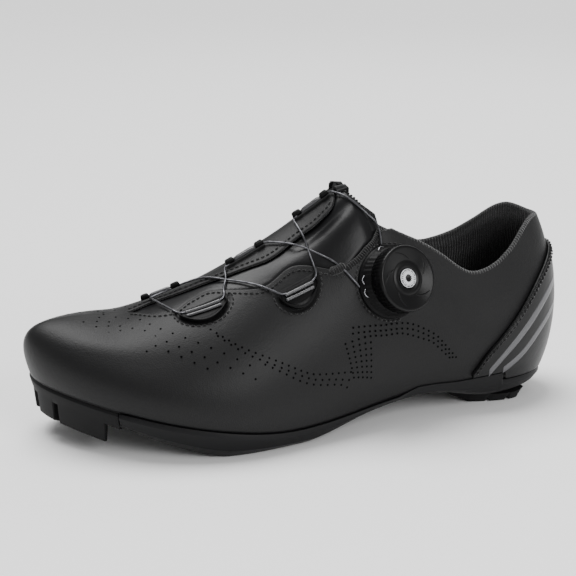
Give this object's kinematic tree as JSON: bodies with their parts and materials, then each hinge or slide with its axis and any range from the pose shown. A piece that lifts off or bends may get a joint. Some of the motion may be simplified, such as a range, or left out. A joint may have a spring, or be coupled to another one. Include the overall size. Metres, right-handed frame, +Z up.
{
  "type": "cycling shoe",
  "caption": "Left road cycling shoe: hollow upper with tongue, lace dial and wire, on a stiff plate sole with rubber toe and heel pads.",
  "frame": {"origin": "on the floor under the middle of the shoe's box", "axes": "toe towards -X, heel towards +X, outside of the foot towards -Y, inside towards +Y, up is +Z"},
  "size_m": [0.2824, 0.0996, 0.1173],
  "materials": {
    "outsole_plate": "moulded black nylon, fine grain",
    "toe_tread": "black rubber, matte",
    "heel_tread": "black rubber, matte",
    "insole": "black knitted cover",
    "upper": "black synthetic leather, fine grain, satin",
    "tongue": "black synthetic leather, smooth, padded",
    "heel_counter": "smooth moulded film with two grey reflective bands",
    "dial_base": "moulded black plastic",
    "dial_knob": "black plastic with a ribbed rubber grip",
    "guides": "moulded black plastic, semi gloss",
    "wire": "stranded steel wire, thin clear coat"
  },
  "bodies": {
    "root": {"outsole_plate": "outsole_plate", "toe_tread": "toe_tread", "heel_tread": "heel_tread", "insole": "insole", "upper": "upper", "tongue": "tongue", "heel_counter": "heel_counter", "dial_base": "dial_base", "dial_knob": "dial_knob", "guide_lateral_front": "guides", "guide_lateral_back": "guides", "guide_medial_front": "guides", "guide_medial_middle": "guides", "guide_medial_back": "guides", "wire_front": "wire", "wire_middle": "wire", "wire_back": "wire", "wire_top": "wire"}
  },
  "joints": []
}
